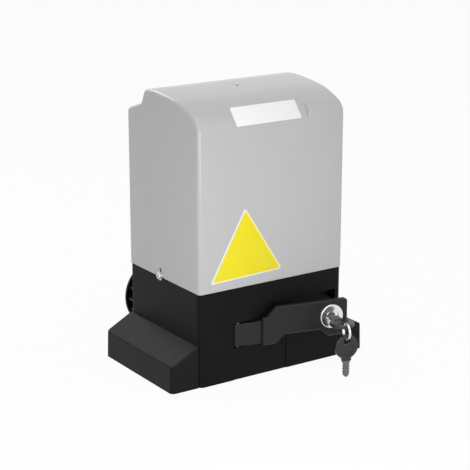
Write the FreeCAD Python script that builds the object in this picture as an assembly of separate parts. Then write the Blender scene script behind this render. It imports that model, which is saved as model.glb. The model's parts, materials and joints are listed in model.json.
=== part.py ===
"""Sliding gate motor: base with a worm drive, lift-off cover, and a keyed release lever in the front.

Frame: millimetres, origin on the ground under the middle of the base, +X right, +Y back, +Z up.
The front, with the lever, faces -Y. The rack pinion stands behind the base on an axis along Y.
"""

import FreeCAD, Part
import math
import os

V = FreeCAD.Vector

# Base: a ring of cast walls on a base plate, with the lever's housing across the front
BASE_W, BASE_D, BASE_H = 195.0, 150.0, 108.0
HALF_W, HALF_D = BASE_W / 2, BASE_D / 2
BASE_CORNER = 6.0
WALL = 6.5
FLOOR = 8.0  # thickness of the base plate
RIM_INSET, RIM_H = 3.9, 6.0  # the rim stands inside the cover's edge
BULKHEAD = (-59.5, -55.0)  # wall between the lever's pocket and the gear chamber
DUCT_X = (60.0, 91.0)  # cable duct beside the gear chamber
POST_X, POST_Y, POST_R = 85.0, (-48.5, 62.0), 7.5  # corner posts between the two plates
CABLE_HOLE = (76.0, 18.0, 12.5)  # x, y, radius

# Ends of the base plate, with the fixing slots, and their covers
PLATE_REACH, PLATE_Y = 30.5, (-66.0, 68.0)
SLOT_X, SLOT_Y, SLOT_LENGTH, SLOT_R = 114.0, 45.0, 16.0, 4.5
FOOT_REACH, FOOT_TOP_REACH, FOOT_EDGE_Z, FOOT_WALL_Z = 35.2, 34.2, 30.4, 48.5
FOOT_Y = (-72.8, 75.0)
FOOT_SKIN = 2.5
FIT = 0.3  # gap between a lift-off cover and what it slides past

# Cover
COVER_OUT = 0.4  # how far the cover stands proud of the base
COVER_SKIN = 3.0
COVER_Z = BASE_H + 0.4
COVER_TOP = 321.0
COVER_FRONT_TOP = 288.4  # where the front wall starts to bend back
COVER_CORNER, COVER_TOP_EDGE = 8.0, 5.0
RECESS_X = (-52.0, 49.5)  # recess for the name plate
RECESS_FOOT = (-74.5, 289.6)  # y, z of a point on the recess floor
RECESS_TILT = 51.6
MOULD_MARK = (2.0, -0.6)
SCREW_Y, SCREW_Z = 6.0, 110.5
SCREW_SLOT_W, SCREW_SLOT_TOP = 4.6, 120.0

# Worm drive: single-start worm on the motor shaft, 30-tooth wheel on the output shaft
WHEEL_X, WHEEL_Z = -39.5, 50.0
WHEEL_Y = 18.0
WORM_MODULE, WHEEL_TEETH = 2.5, 30
WORM_PITCH_R = 12.0
WHEEL_PITCH_R = WORM_MODULE * WHEEL_TEETH / 2
MOTOR_X = WHEEL_X + WHEEL_PITCH_R + WORM_PITCH_R
WORM_LEAD = math.pi * WORM_MODULE
WORM_LENGTH = 38.0
WHEEL_FACE = 20.0
BACKLASH = 0.25  # taken off each tooth's thickness
PRESSURE = math.radians(20)

# Output shaft and the pinion for the gate rack
SHAFT_R = 10.0
PINION_MODULE, PINION_TEETH = 4.0, 18
PINION_Y = (89.0, 117.0)
BEARING_R, BEARING_W = 21.0, 12.0  # 20 x 42 x 12 ball bearing
FRONT_BEARING_Y, REAR_BEARING_Y = -52.0, 55.5
RUNNING = 0.04  # radial clearance of a running fit

# Release: lever, rod and dog clutch
LEVER_AXIS = (-44.2, -70.0)  # x, y of the vertical pivot
LEVER_OPEN = 12.5  # degrees that the lever stands open at rest
HUB_LEFT, HUB_RIGHT = -5.7, 27.8  # from the pivot
HUB_Z = (39.2, 65.6)
FINGER_Z = (49.0, 68.5)  # side opening of the pocket
LEVER_FACE, LEVER_T = -9.0, 5.5  # front face from the pivot, thickness
LOCK_X, LOCK_Z = 111.3, 62.8
CAM_R = 5.1
ROD_R, ROD_NOSE_R = 4.0, 2.5
ROD_NOSE = 7.5  # nose behind the pivot with the lever shut
CLUTCH_TRAVEL = 4.0  # over 90 degrees of the lever
DOG_H = 3.6

# Motor
STATOR_R, STATOR_BORE, STATOR_Z = 50.0, 27.5, (128.0, 204.0)
PLATE_Z = (BASE_H - 6, BASE_H)
BOARD_Y, BOARD_W, BOARD_Z = -50.0, 150.0, (124.0, 226.0)

# Key
KEY_BOW_R, KEY_T, KEY_OUT = 14.0, 3.4, 29.0
KEY_HOLE_R = 4.2
KEY_IN_LOCK = 7.7  # depth of the blade behind the lever's face
KEY_LENGTH = KEY_OUT - KEY_BOW_R + KEY_IN_LOCK
KEY_NECK, SPARE_NECK = 9.4, 2.2
SPARE_LENGTH = 21.5
STRIP = 3.0  # material between the hole and the bow's rim
RING_R, RING_WIRE = 8.6, 0.8
RING_DROP = 5.3  # ring centre under the strip
SPARE_DROP = 5.5  # spare key's strip under the ring centre


def place(axis, a, b, c):
    """A point with a, b across the axis and c along it."""
    return {"x": V(c, a, b), "y": V(a, c, b), "z": V(a, b, c)}[axis]


def span(x, y, z):
    """Box between pairs of limits."""
    return Part.makeBox(x[1] - x[0], y[1] - y[0], z[1] - z[0], V(x[0], y[0], z[0]))


def bar(radius, start, end):
    """Round bar between two points."""
    start, end = V(*start), V(*end)
    return Part.makeCylinder(radius, start.distanceToPoint(end), start, end - start)


def bar_along(axis, radius, a, b, start, end):
    """Round bar along an axis through a, b."""
    return bar(radius, place(axis, a, b, start), place(axis, a, b, end))


def sleeve(axis, outer, inner, a, b, start, end):
    return bar_along(axis, outer, a, b, start, end).cut(bar_along(axis, inner, a, b, start, end))


def prism(points, axis, start, end):
    """Polygon across an axis, drawn out along it."""
    corners = [place(axis, a, b, start) for a, b in points]
    face = Part.Face(Part.makePolygon(corners + corners[:1]))
    return face.extrude(place(axis, 0, 0, end - start))


def fused(shapes):
    whole = shapes[0]
    for shape in shapes[1:]:
        whole = whole.fuse(shape)
    return whole.removeSplitter()


def without(body, tools):
    for tool in tools:
        body = body.cut(tool)
    return body


def runs_along(axis, where=lambda p: True):
    """Test for straight edges along an axis whose middle is where it should be."""
    direction = place(axis, 0, 0, 1)

    def test(edge):
        if edge.Curve.TypeId != "Part::GeomLine":
            return False
        return abs(edge.tangentAt(edge.FirstParameter).dot(direction)) > 0.999 and where(edge.CenterOfMass)

    return test


def softened(shape, radius, wanted):
    """Shape with a fillet on the edges that pass the test."""
    return shape.makeFillet(radius, [e for e in shape.Edges if wanted(e)])


def rounded_span(x, y, z, radius):
    return softened(span(x, y, z), radius, runs_along("z"))


def mirrored(shape):
    """The same piece on the other side of the motor."""
    return shape.mirror(V(0, 0, 0), V(1, 0, 0))


# Lever group: drawn shut, with the pivot at LEVER_AXIS, and turned to its resting angle at the end


def on_lever(shape):
    """Turn a piece that was drawn on the shut lever to where the lever stands at rest."""
    shape = shape.copy()
    shape.rotate(V(LEVER_AXIS[0], LEVER_AXIS[1], 0), V(0, 0, 1), -LEVER_OPEN)
    return shape


def lever_outline(grow=0.0):
    """Corners of the lever plate from the pivot, x and z, moved outwards by grow."""
    g, d = grow, grow * 0.42
    return [
        (27.7 - g, 37.4 - g), (42.8 + d, 37.4 - g), (54.2 + d, 47.5 - g), (98.3 - d, 47.5 - g),
        (108.2 - d, 38.7 - g), (131.9 + g, 38.7 - g), (131.9 + g, 81.5 + g), (43.9 - d, 81.5 + g),
        (32.6 - d, 69.9 + g), (27.7 - g, 69.9 + g),
    ]


def lever_points(points):
    return [(LEVER_AXIS[0] + x, z) for x, z in points]


def base_walls():
    """All the walls of the base as one block: chamber, cable duct, bearing bosses, posts and the rim on top."""
    body = rounded_span((-HALF_W, HALF_W), (-HALF_D, HALF_D), (0, BASE_H), BASE_CORNER)
    rim_x, rim_y = HALF_W - RIM_INSET, HALF_D - RIM_INSET
    rim = rounded_span((-rim_x, rim_x), (-rim_y, rim_y), (BASE_H - 1, BASE_H + RIM_H), 3)
    inner_x, inner_y = HALF_W - WALL, HALF_D - WALL
    rim = rim.cut(rounded_span((-inner_x, inner_x), (-inner_y, inner_y), (BASE_H, BASE_H + RIM_H), 1))
    lugs = [
        span(x, (SCREW_Y - 6, SCREW_Y + 6), (BASE_H, SCREW_Z + 6.5))
        for x in ((-rim_x, -inner_x), (inner_x, rim_x))
    ]
    chamber = [
        span((-inner_x, DUCT_X[0] - 4), (BULKHEAD[1], inner_y), (-1, BASE_H + 1)),
        span(DUCT_X, (BULKHEAD[1], inner_y), (-1, BASE_H + 1)),
        span((-inner_x, inner_x), (BULKHEAD[1], inner_y), (PLATE_Z[0], BASE_H + 1)),
    ]
    body = without(fused([body, rim] + lugs), chamber)
    bosses = [
        bar_along("y", BEARING_R + 5, WHEEL_X, WHEEL_Z, BULKHEAD[1] - 1, FRONT_BEARING_Y + BEARING_W),
        bar_along("y", BEARING_R + 6, WHEEL_X, WHEEL_Z, REAR_BEARING_Y - 7.5, HALF_D - 1),
    ]
    posts = [bar_along("z", POST_R, x, y, FLOOR, PLATE_Z[0]) for x, y in post_places()]
    # the plates' seats stay clear of what was added
    body = fused([body] + bosses + posts)
    return without(body, base_cuts())


def base_housing():
    """The walls from the bulkhead to the back."""
    return base_walls().common(span((-HALF_W, HALF_W), (BULKHEAD[0], HALF_D), (0, BASE_H + 20))).removeSplitter()


def lever_housing():
    """The front of the base with the lever's pocket, screwed to the bulkhead."""
    return base_walls().common(span((-HALF_W, HALF_W), (-HALF_D, BULKHEAD[0]), (0, BASE_H + 20))).removeSplitter()


def base_plate():
    """Steel plate under the walls, with two fixing slots at each end and the seat of the motor's foot bearing."""
    outer = HALF_W + PLATE_REACH
    plate = softened(span((-outer, outer), PLATE_Y, (0, FLOOR)), 6, runs_along("z"))
    plate = plate.fuse(bar_along("z", BEARING_R, MOTOR_X, WHEEL_Y, FLOOR - 1, 18))
    cuts = [
        bar_along("z", 16, MOTOR_X, WHEEL_Y, 8, 19),
        bar_along("z", CABLE_HOLE[2], CABLE_HOLE[0], CABLE_HOLE[1], -1, FLOOR + 1),
    ]
    half = SLOT_LENGTH / 2 - SLOT_R
    for side in (-1, 1):
        for y in (-SLOT_Y, SLOT_Y):
            x = side * SLOT_X
            ends = [bar_along("z", SLOT_R, x + s * half, y, -1, FLOOR + 1) for s in (-1, 1)]
            middle = span((x - half, x + half), (y - SLOT_R, y + SLOT_R), (-1, FLOOR + 1))
            cuts.append(fused(ends + [middle]))
    cuts += [countersink(x, y) for x, y in post_places()]
    cuts += [bar_along("z", 2.7, x, y, -1, FLOOR + 1) for x, y in post_places()]
    return without(plate, cuts).removeSplitter()


def post_places():
    return [(x, y) for x in (-POST_X, POST_X) for y in POST_Y]


def countersink(x, y, shrink=0.0):
    """Cone in the underside of the base plate for a flat screw head."""
    top = 5.2 - shrink
    return Part.makeCone(top, 2.5 - shrink, top - 2.5 + shrink, V(x, y, 0), V(0, 0, 1))


def front_screw_places():
    return [(x, z) for x in (-70.0, 45.0) for z in (20.0, 95.0)]


def housing_screws():
    """Flat-head screws up through the base plate, and socket heads through the bulkhead into the lever's housing."""
    upright = [fused([countersink(x, y, 0.2), bar_along("z", 2.3, x, y, 1, 24)]) for x, y in post_places()]
    lying = []
    for x, z in front_screw_places():
        screw = cap_screw(0, 0, 0, 13)
        screw.rotate(V(0, 0, 0), V(1, 0, 0), -90)
        screw.translate(V(x, BULKHEAD[1], z))
        lying.append(screw)
    return upright + lying


def base_cuts():
    """Everything that is cored or drilled out of the walls."""
    x0, y0 = LEVER_AXIS
    rear = (REAR_BEARING_Y, HALF_D + 1)
    cuts = [
        # seat of the base plate
        span((-HALF_W - 1, HALF_W + 1), (PLATE_Y[0] - FIT, PLATE_Y[1] + FIT), (-1, FLOOR)),
        # bearing seats, rod hole and shaft hole on the output axis
        bar_along("y", BEARING_R, WHEEL_X, WHEEL_Z, FRONT_BEARING_Y, FRONT_BEARING_Y + BEARING_W + 1),
        bar_along("y", ROD_R + 0.4, WHEEL_X, WHEEL_Z, BULKHEAD[0] - 1, FRONT_BEARING_Y + 1),
        bar_along("y", 8, WHEEL_X, WHEEL_Z, FRONT_BEARING_Y - 2, FRONT_BEARING_Y + 1),
        bar_along("y", BEARING_R, WHEEL_X, WHEEL_Z, *rear),
        bar_along("y", 14.5, WHEEL_X, WHEEL_Z, REAR_BEARING_Y - 9, REAR_BEARING_Y + 1),
        # lever window in the front, open to the right side for the fingers
        prism(lever_points(lever_outline(1.3)), "y", -HALF_D - 1, BULKHEAD[0]),
        span((x0 - 8.5, x0 + 30), (-HALF_D - 1, BULKHEAD[0]), (HUB_Z[0] - 1.3, HUB_Z[1] + 1.8)),
        span((x0 + 120, HALF_W + 1), (-HALF_D - 1, BULKHEAD[0]), FINGER_Z),
        # room behind the front wall for the lock and its cam
        span((x0 + 40, HALF_W - WALL), (-HALF_D + 5, BULKHEAD[0]), (34.0, 92.0)),
        # shallow panel under the hub
        span((x0 - 8.5, 20.2), (-HALF_D - 1, -HALF_D + 0.8), (-1, HUB_Z[0] - 2.6)),
    ]
    # lever pivot holes above and below the hub
    cuts.append(bar_along("z", 2.5, x0, y0, HUB_Z[0] - 8, HUB_Z[1] + 9))
    # tapped holes in both ends of the posts, through the bulkhead, and for the cover screws
    cuts += [bar_along("z", 2.1, x, y, PLATE_Z[0] - 18, PLATE_Z[0] + 1) for x, y in post_places()]
    cuts += [bar_along("z", 2.3, x, y, FLOOR - 1, 26) for x, y in post_places()]
    cuts += [bar_along("y", 2.1, x, z, -70.0, BULKHEAD[1] + 1) for x, z in front_screw_places()]
    cuts.append(bar_along("x", 2.1, SCREW_Y, SCREW_Z, -HALF_W, HALF_W))
    return cuts


def cover_seal():
    """Rubber strip around the foot of the rim."""
    outer, inner = RIM_INSET - 1.0, RIM_INSET
    ring = rounded_span(
        (-HALF_W + outer, HALF_W - outer), (-HALF_D + outer, HALF_D - outer), (BASE_H, BASE_H + 4), 4
    )
    hole = rounded_span(
        (-HALF_W + inner, HALF_W - inner), (-HALF_D + inner, HALF_D - inner), (BASE_H, BASE_H + 4), 3
    )
    return ring.cut(hole).cut(bar_along("x", 2.4, SCREW_Y, SCREW_Z, -HALF_W, HALF_W))


def foot_cover():
    """Right foot cover: a skin over the base plate's end, open below and towards the base."""
    inner = HALF_W + FIT

    def profile(skin):
        run = FOOT_TOP_REACH
        drop = skin / math.cos(math.atan2(FOOT_WALL_Z - FOOT_EDGE_Z, run))
        start = inner - (skin and 1)
        lean = (FOOT_REACH - FOOT_TOP_REACH) / FOOT_EDGE_Z
        edge_x = HALF_W + run - skin
        edge_z = FOOT_EDGE_Z - drop + skin * (FOOT_WALL_Z - FOOT_EDGE_Z) / run
        top_z = FOOT_WALL_Z - drop - (start - HALF_W) * (FOOT_WALL_Z - FOOT_EDGE_Z) / run
        bottom_z = -(skin and 1.0)
        return [
            (start, bottom_z), (edge_x + lean * (edge_z - bottom_z), bottom_z), (edge_x, edge_z), (start, top_z)
        ]

    outer = prism(profile(0), "y", *FOOT_Y)
    outer = softened(outer, 5.5, lambda e: is_foot_corner(e))
    outer = softened(outer, 2.0, lambda e: is_foot_ridge(e))
    hollow = prism(profile(FOOT_SKIN), "y", FOOT_Y[0] + FOOT_SKIN, FOOT_Y[1] - FOOT_SKIN)
    ribs = [span((inner, HALF_W + FOOT_REACH), (y - 1, y + 1), (27, FOOT_WALL_Z)) for y in (-22.0, 22.0)]
    return fused([outer.cut(hollow)] + [rib.common(outer) for rib in ribs])


def is_foot_corner(edge):
    """The two upright outer corners."""
    box = edge.BoundBox
    return box.ZLength > 20 and box.YLength < 0.1 and box.XLength < 3 and box.XMin > HALF_W + 20


def is_foot_ridge(edge):
    """The long ridge between the slope and the upright face, and the slope's two ends."""
    box = edge.BoundBox
    on_slope = box.YLength < 0.1 and box.XLength > 20 and box.ZMin > 10
    return on_slope or (box.YLength > 100 and box.XMin > HALF_W + 20 and box.ZMin > 10)


class Track:
    """A chain of lines and arcs in the y-z plane that stays smooth where one meets the next."""

    def __init__(self, point, heading):
        self.point, self.heading, self.edges = point, math.radians(heading), []

    def line_to(self, point):
        self.edges.append(Part.makeLine(V(0, *self.point), V(0, *point)))
        self.heading = math.atan2(point[1] - self.point[1], point[0] - self.point[0])
        self.point = point
        return self

    def arc_to(self, point):
        """Arc that leaves along the heading and ends at the point."""
        (a, b), (c, d) = self.point, point
        chord, turn = math.hypot(c - a, d - b), math.atan2(d - b, c - a) - self.heading
        bulge = chord / 2 * math.tan(turn / 2)
        middle = ((a + c) / 2 + bulge * (d - b) / chord, (b + d) / 2 - bulge * (c - a) / chord)
        self.edges.append(Part.Arc(V(0, a, b), V(0, *middle), V(0, c, d)).toShape())
        self.heading += 2 * turn
        self.point = point
        return self

    def forward(self, length):
        return (self.point[0] + length * math.cos(self.heading), self.point[1] + length * math.sin(self.heading))


def cover_outline():
    """Side view of the cover, from the foot of its front wall over the top to the foot of its back wall."""
    front, back = -HALF_D - COVER_OUT, HALF_D + COVER_OUT
    track = Track((front, COVER_Z), 90)
    track.line_to((front, COVER_FRONT_TOP))
    track.arc_to((-65.5, COVER_TOP - 16.3)).arc_to((-24.0, COVER_TOP - 3.4)).arc_to((15.0, COVER_TOP))
    # a steep step down to the ledge
    track.arc_to((31.5, COVER_TOP - 1.0)).arc_to((38.6, COVER_TOP - 5.6))
    track.line_to(track.forward(13.2)).arc_to((48.2, COVER_TOP - 19.4))
    # the ledge runs straight back, then rounds into the back wall
    reach = (back - track.point[0]) / math.cos(track.heading)
    corner = track.forward(reach)
    easing = 4.5
    track.line_to(track.forward(reach - easing))
    track.arc_to((back, corner[1] - easing))
    track.line_to((back, COVER_Z))
    return track.edges


def cover():
    edges = cover_outline()
    foot = Part.makeLine(edges[-1].Vertexes[-1].Point, edges[0].Vertexes[0].Point)
    outline = Part.Wire(edges + [foot])
    half = HALF_W + COVER_OUT
    outer = Part.Face(outline).extrude(V(2 * half, 0, 0))
    outer.translate(V(-half, 0, 0))
    sides = [e for e in outer.Edges if abs(abs(e.CenterOfMass.x) - half) < 0.01 and e.BoundBox.ZMax > COVER_Z + 1]
    outer = outer.makeFillet(COVER_TOP_EDGE, sides)
    inner_outline = outline.makeOffset2D(-COVER_SKIN)
    inner = Part.Face(inner_outline).extrude(V(2 * (half - COVER_SKIN), 0, 0))
    inner.translate(V(-(half - COVER_SKIN), 0, 0))
    inner_sides = [
        e for e in inner.Edges
        if abs(abs(e.CenterOfMass.x) - half + COVER_SKIN) < 0.01 and e.BoundBox.ZMax > COVER_Z + 10
    ]
    inner = inner.makeFillet(COVER_TOP_EDGE - COVER_SKIN, inner_sides)
    inner = inner.cut(recess_cutter(COVER_SKIN - 0.6))
    mouth = span(
        (-half + COVER_SKIN, half - COVER_SKIN),
        (-HALF_D - COVER_OUT + COVER_SKIN, HALF_D + COVER_OUT - COVER_SKIN),
        (COVER_Z - 1, COVER_Z + 12),
    )
    shell = outer.cut(inner).cut(mouth)
    slots = fused([
        span((-half - 1, half + 1), (SCREW_Y - SCREW_SLOT_W / 2, SCREW_Y + SCREW_SLOT_W / 2),
             (COVER_Z - 1, SCREW_SLOT_TOP - SCREW_SLOT_W / 2)),
        bar_along("x", SCREW_SLOT_W / 2, SCREW_Y, SCREW_SLOT_TOP - SCREW_SLOT_W / 2, -half - 1, half + 1),
    ])
    shell = shell.cut(slots).cut(recess_cutter())
    # small round mark that the mould leaves on the top
    mark_x, mark_y = MOULD_MARK
    probe = bar_along("z", 2.2, mark_x, mark_y, COVER_TOP - 10, COVER_TOP + 10)
    top = shell.common(probe).BoundBox.ZMax
    return shell.fuse(bar_along("z", 2.2, mark_x, mark_y, top - 1.5, top + 0.35))


def recess_cutter(grow=0.0):
    """Block whose lower face is the floor of the name plate's recess, or stands grow inside it all round."""
    cutter = span((RECESS_X[0] - grow, RECESS_X[1] + grow), (-30, 60), (-grow, 30))
    cutter.rotate(V(0, 0, 0), V(1, 0, 0), RECESS_TILT)
    cutter.translate(V(0, *RECESS_FOOT))
    return cutter


def screw_set():
    """Cover screws, one each side: shank, washer and cross-slotted pan head."""
    face = HALF_W + COVER_OUT + 0.1
    shank = bar_along("x", 2.0, SCREW_Y, SCREW_Z, HALF_W - WALL - 2, face + 2)
    head = bar_along("x", 3.9, SCREW_Y, SCREW_Z, face + 1.0, face + 3.6)
    head = softened(head, 1.2, lambda e: e.CenterOfMass.x > face + 3.4)
    slots = [span((face + 2.4, face + 5), (SCREW_Y - a, SCREW_Y + a), (SCREW_Z - b, SCREW_Z + b))
             for a, b in ((2.5, 0.45), (0.45, 2.5))]
    screw = without(fused([shank, head]), slots)
    washer = sleeve("x", 5.2, 2.0, SCREW_Y, SCREW_Z, face, face + 1.0)
    return [screw, washer]


def release_lever():
    x0, y0 = LEVER_AXIS
    plate = prism(lever_points(lever_outline()), "y", y0 + LEVER_FACE, y0 + LEVER_FACE + LEVER_T)
    plate = softened(plate, 4.0, runs_along("y", lambda p: p.x > x0 + 130))
    plate = plate.makeChamfer(1.2, front_edges(plate, y0 + LEVER_FACE))
    # hub: flat outside, cam-shaped at the inner left corner
    left, back = x0 + HUB_LEFT, y0 + 6.6
    cam_start, cam_mid = (x0 - CAM_R, y0), (x0 - CAM_R * 0.66, y0 + CAM_R * 0.75)
    cam_end = (x0 - 0.8, y0 + CAM_R * 0.99)
    corners = [(left, y0 - 1.5), (left, y0 - 4.0), (left + 1.0, y0 - 5.0), (x0 + HUB_RIGHT, y0 - 5.0),
               (x0 + HUB_RIGHT, back), (x0 + 1.6, back), cam_end]
    z0 = HUB_Z[0]
    edges = [Part.makeLine(V(*a, z0), V(*b, z0)) for a, b in zip(corners, corners[1:])]
    edges.append(Part.Arc(V(*cam_end, z0), V(*cam_mid, z0), V(*cam_start, z0)).toShape())
    edges.append(Part.makeLine(V(*cam_start, z0), V(*corners[0], z0)))
    hub = Part.Face(Part.Wire(edges)).extrude(V(0, 0, HUB_Z[1] - z0))
    # arm behind the plate that stiffens it from the hub to the lock
    arm = span((x0 + HUB_RIGHT - 2, x0 + LOCK_X - 18), (y0 + LEVER_FACE + LEVER_T - 0.5, y0 + 2), (50, 53))
    bores = [
        bar_along("z", 2.5 + RUNNING, x0, y0, 0, BASE_H),
        bar_along("y", 10.0, x0 + LOCK_X, LOCK_Z, -HALF_D - 10, y0 + 3),
    ]
    return on_lever(without(fused([plate, hub, arm]), bores))


def front_edges(shape, y):
    """Edges of the face of a plate that looks to the front."""
    for face in shape.Faces:
        if abs(face.CenterOfMass.y - y) < 0.01 and face.Surface.TypeId == "Part::GeomPlane":
            return face.Edges
    return []


def lever_pin():
    return bar_along("z", 2.5, LEVER_AXIS[0], LEVER_AXIS[1], HUB_Z[0] - 8, HUB_Z[1] + 9)


def lock_parts():
    """Lock on the lever: body, nut, turning plug, cam with its screw."""
    x, z = LEVER_AXIS[0] + LOCK_X, LOCK_Z
    face = LEVER_AXIS[1] + LEVER_FACE
    back = face + LEVER_T
    rim = softened(bar_along("y", 14, x, z, face - 2.6, face), 1.2, lambda e: e.CenterOfMass.y < face - 2)
    barrel = bar_along("y", 9.9, x, z, face - 1, back + 3.4)
    plug_r = 6.2
    body = fused([rim, barrel]).cut(bar_along("y", plug_r + RUNNING, x, z, face - 5, back + 5))
    body = body.cut(bar_along("y", 8.4, x, z, face - 3, face - 1.6))
    nut = prism([(x + 13 * math.cos(math.radians(a)), z + 13 * math.sin(math.radians(a)))
                 for a in range(0, 360, 60)], "y", back, back + 2.2)
    nut = nut.cut(bar_along("y", 9.9, x, z, face, back + 5))
    plug = bar_along("y", plug_r, x, z, face - 1.9, back + 3.9)
    plug = plug.cut(span((x - 4.4, x + 4.4), (face - 5, back + 2.5), (z - 1.25, z + 1.25)))
    cam = fused([bar_along("y", 7.5, x, z, back + 3.9, back + 6.3),
                 span((x - 24, x), (back + 3.9, back + 6.3), (z - 4.5, z + 4.5))])
    hole = bar_along("y", 2.0, x, z, face, back + 9)
    screw = fused([bar_along("y", 2.0, x, z, back + 2.6, back + 6.4),
                   bar_along("y", 3.6, x, z, back + 6.3, back + 8.3)])
    return {
        "lock_body": body, "lock_nut": nut, "lock_plug": plug.cut(hole), "lock_cam": cam.cut(hole),
        "cam_screw": screw,
    }


def key(length, neck_length):
    """Key lying in the x-y plane with its bow centre at the origin and its blade along +Y: blade, bow."""
    hole_y = -(KEY_BOW_R - STRIP - KEY_HOLE_R)
    bow = bar_along("z", KEY_BOW_R, 0, 0, -KEY_T / 2, KEY_T / 2)
    neck = span((-5.5, 5.5), (KEY_BOW_R - 3, KEY_BOW_R + neck_length), (-KEY_T / 2, KEY_T / 2))
    bow = fused([bow, neck])
    bow = softened(bow, 0.9, lambda e: e.Curve.TypeId == "Part::GeomCircle")
    panels = [bar_along("z", 8.6, 0, 1.6, s * (KEY_T / 2 - 0.5), s * (KEY_T / 2 + 1)) for s in (-1, 1)]
    hole = bar_along("z", KEY_HOLE_R, 0, hole_y, -KEY_T, KEY_T)
    tip = KEY_BOW_R + length
    start = KEY_BOW_R - 4
    # double-cut blade: shallow notches down both edges
    half, shoulder = 3.9, KEY_BOW_R + neck_length + 2.0
    notches = max(3, int((tip - shoulder - 3) / 3.2))
    pitch = (tip - shoulder - 3) / notches
    right = [(4.6, start), (4.6, shoulder), (half, shoulder)]
    for i in range(notches):
        y = shoulder + i * pitch
        right += [(half, y + 0.4 * pitch), (half - 1.0, y + 0.7 * pitch), (half, y + pitch)]
    right.append((1.2, tip))
    outline = right + [(-x, y) for x, y in reversed(right)]
    blade = prism(outline, "z", -1.1, 1.1)
    socket = span((-4.6, 4.6), (start, KEY_BOW_R + neck_length + 1), (-1.1, 1.1))
    return blade, without(bow, panels + [hole, socket])


def lock_frame(shape):
    """Carry a key from its own frame to the lock: blade into the lever, bow in front of it."""
    shape = shape.copy()
    shape.translate(V(LEVER_AXIS[0] + LOCK_X, LEVER_AXIS[1] + LEVER_FACE - KEY_OUT, LOCK_Z))
    return on_lever(shape)


def strip_place():
    """Middle of the strip between the hole and the rim of the key in the lock, with the lever shut."""
    return V(LEVER_AXIS[0] + LOCK_X, LEVER_AXIS[1] + LEVER_FACE - KEY_OUT - KEY_BOW_R + STRIP / 2, LOCK_Z)


def key_ring():
    """Split ring of two turns, upright, hanging from the strip."""
    centre = strip_place() - V(0, 0, RING_DROP)
    turns = [Part.makeTorus(RING_R, RING_WIRE, V(s * 0.62, 0, 0), V(1, 0, 0)) for s in (-1, 1)]
    ring = turns[0].fuse(turns[1])
    ring.translate(centre)
    return on_lever(ring)


def spare_key():
    """The same key hanging from the ring, its faces square to the ring."""
    blade, bow = key(SPARE_LENGTH, SPARE_NECK)
    pieces = []
    for shape in (blade, bow):
        # blade down, faces to the front
        shape.rotate(V(0, 0, 0), V(1, 0, 0), -90)
        bow_centre = strip_place() - V(0, 0, RING_DROP + SPARE_DROP + KEY_BOW_R - STRIP / 2)
        shape.translate(bow_centre)
        pieces.append(on_lever(shape))
    return pieces


def involute(angle):
    return math.tan(angle) - angle


def gear_points(teeth, module, turn=0.0):
    """Outline of a spur gear: points down one flank, across the root and up the next, tooth on the +a axis."""
    pitch_r, root_r, tip_r = module * teeth / 2, module * (teeth / 2 - 1.25), module * (teeth / 2 + 1)
    base_r = pitch_r * math.cos(PRESSURE)
    half_pitch = math.pi / (2 * teeth) - BACKLASH / (2 * pitch_r)

    def half_angle(r):
        at = math.acos(min(1.0, base_r / r))
        return half_pitch + involute(PRESSURE) - involute(at)

    radii = [root_r, max(base_r, root_r + 0.3), pitch_r, tip_r]
    points = []
    for i in range(teeth):
        middle = 2 * math.pi * i / teeth + turn
        flank = [(r, half_angle(r)) for r in radii]
        ends = [(r, middle - a) for r, a in flank] + [(r, middle + a) for r, a in reversed(flank)]
        points += [(r * math.cos(t), r * math.sin(t)) for r, t in ends]
    return points


def polygon_wire(points, axis, c):
    corners = [place(axis, a, b, c) for a, b in points]
    return Part.makePolygon(corners + corners[:1])


def worm_wheel():
    """Bronze wheel: helical teeth that follow the worm, a hub, and slots for the dogs in its front face."""
    lean = WORM_LEAD / (2 * math.pi * WORM_PITCH_R)
    twist = lean * WHEEL_FACE / 2 / WHEEL_PITCH_R
    gap_first = math.pi / WHEEL_TEETH  # a gap, not a tooth, takes the worm's thread
    wires = []
    for side in (-1, 1):
        # teeth lean down towards the back where they meet the worm
        points = gear_points(WHEEL_TEETH, WORM_MODULE, gap_first - side * twist)
        wires.append(polygon_wire(points, "y", side * WHEEL_FACE / 2))
    rim = Part.makeLoft(wires, True, True)
    rim.translate(V(WHEEL_X, WHEEL_Y, WHEEL_Z))
    hub = bar_along("y", 23, WHEEL_X, WHEEL_Z, WHEEL_Y - 14, WHEEL_Y + 16)
    dishes = [sleeve("y", 31, 23, WHEEL_X, WHEEL_Z, WHEEL_Y + s * 5, WHEEL_Y + s * 11) for s in (-1, 1)]
    bore = bar_along("y", SHAFT_R + RUNNING, WHEEL_X, WHEEL_Z, -HALF_D, HALF_D)
    return without(fused([rim, hub]), dishes + [bore] + dogs(0.5))


def dogs(gap, shift=0.0, height=DOG_H + 0.6):
    """Four blocks that lock the clutch ring to the wheel, larger by gap all round when they are slots."""
    front = WHEEL_Y - 14 + shift
    blocks = []
    for turn in range(0, 360, 90):
        block = span((13.5 - gap, 23.5), (front - 0.5, front + height), (-4 - gap, 4 + gap))
        block.rotate(V(0, 0, 0), V(0, 1, 0), turn)
        block.translate(V(WHEEL_X, 0, WHEEL_Z))
        blocks.append(block)
    return blocks


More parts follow.
